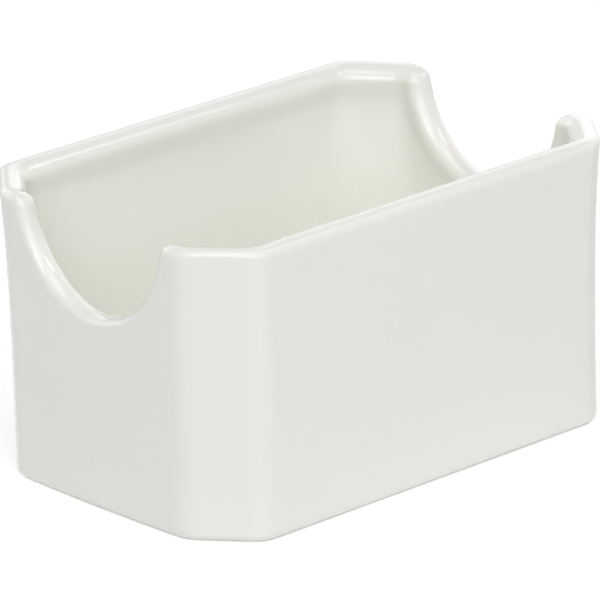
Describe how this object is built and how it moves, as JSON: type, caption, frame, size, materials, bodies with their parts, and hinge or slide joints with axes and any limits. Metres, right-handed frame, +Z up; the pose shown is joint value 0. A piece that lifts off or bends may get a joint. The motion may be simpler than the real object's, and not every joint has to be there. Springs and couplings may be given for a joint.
{
  "type": "sugar packet holder",
  "caption": "Rectangular glazed china caddy with chamfered corners, a rounded rim and a finger scoop in each short end, for standing sugar packets upright on a table.",
  "frame": {"origin": "on the table under the middle of the foot ring", "axes": "+X along the length, towards one scooped end; +Y across the width; +Z up, out of the open top"},
  "size_m": [0.1054, 0.0728, 0.057],
  "materials": {
    "bare_china": "matt, fine-grained fired china without glaze",
    "glaze": "glossy off-white glaze"
  },
  "bodies": {
    "root": {"china_body": "bare_china", "glaze_coat": "glaze", "base_glaze": "glaze"}
  },
  "joints": []
}
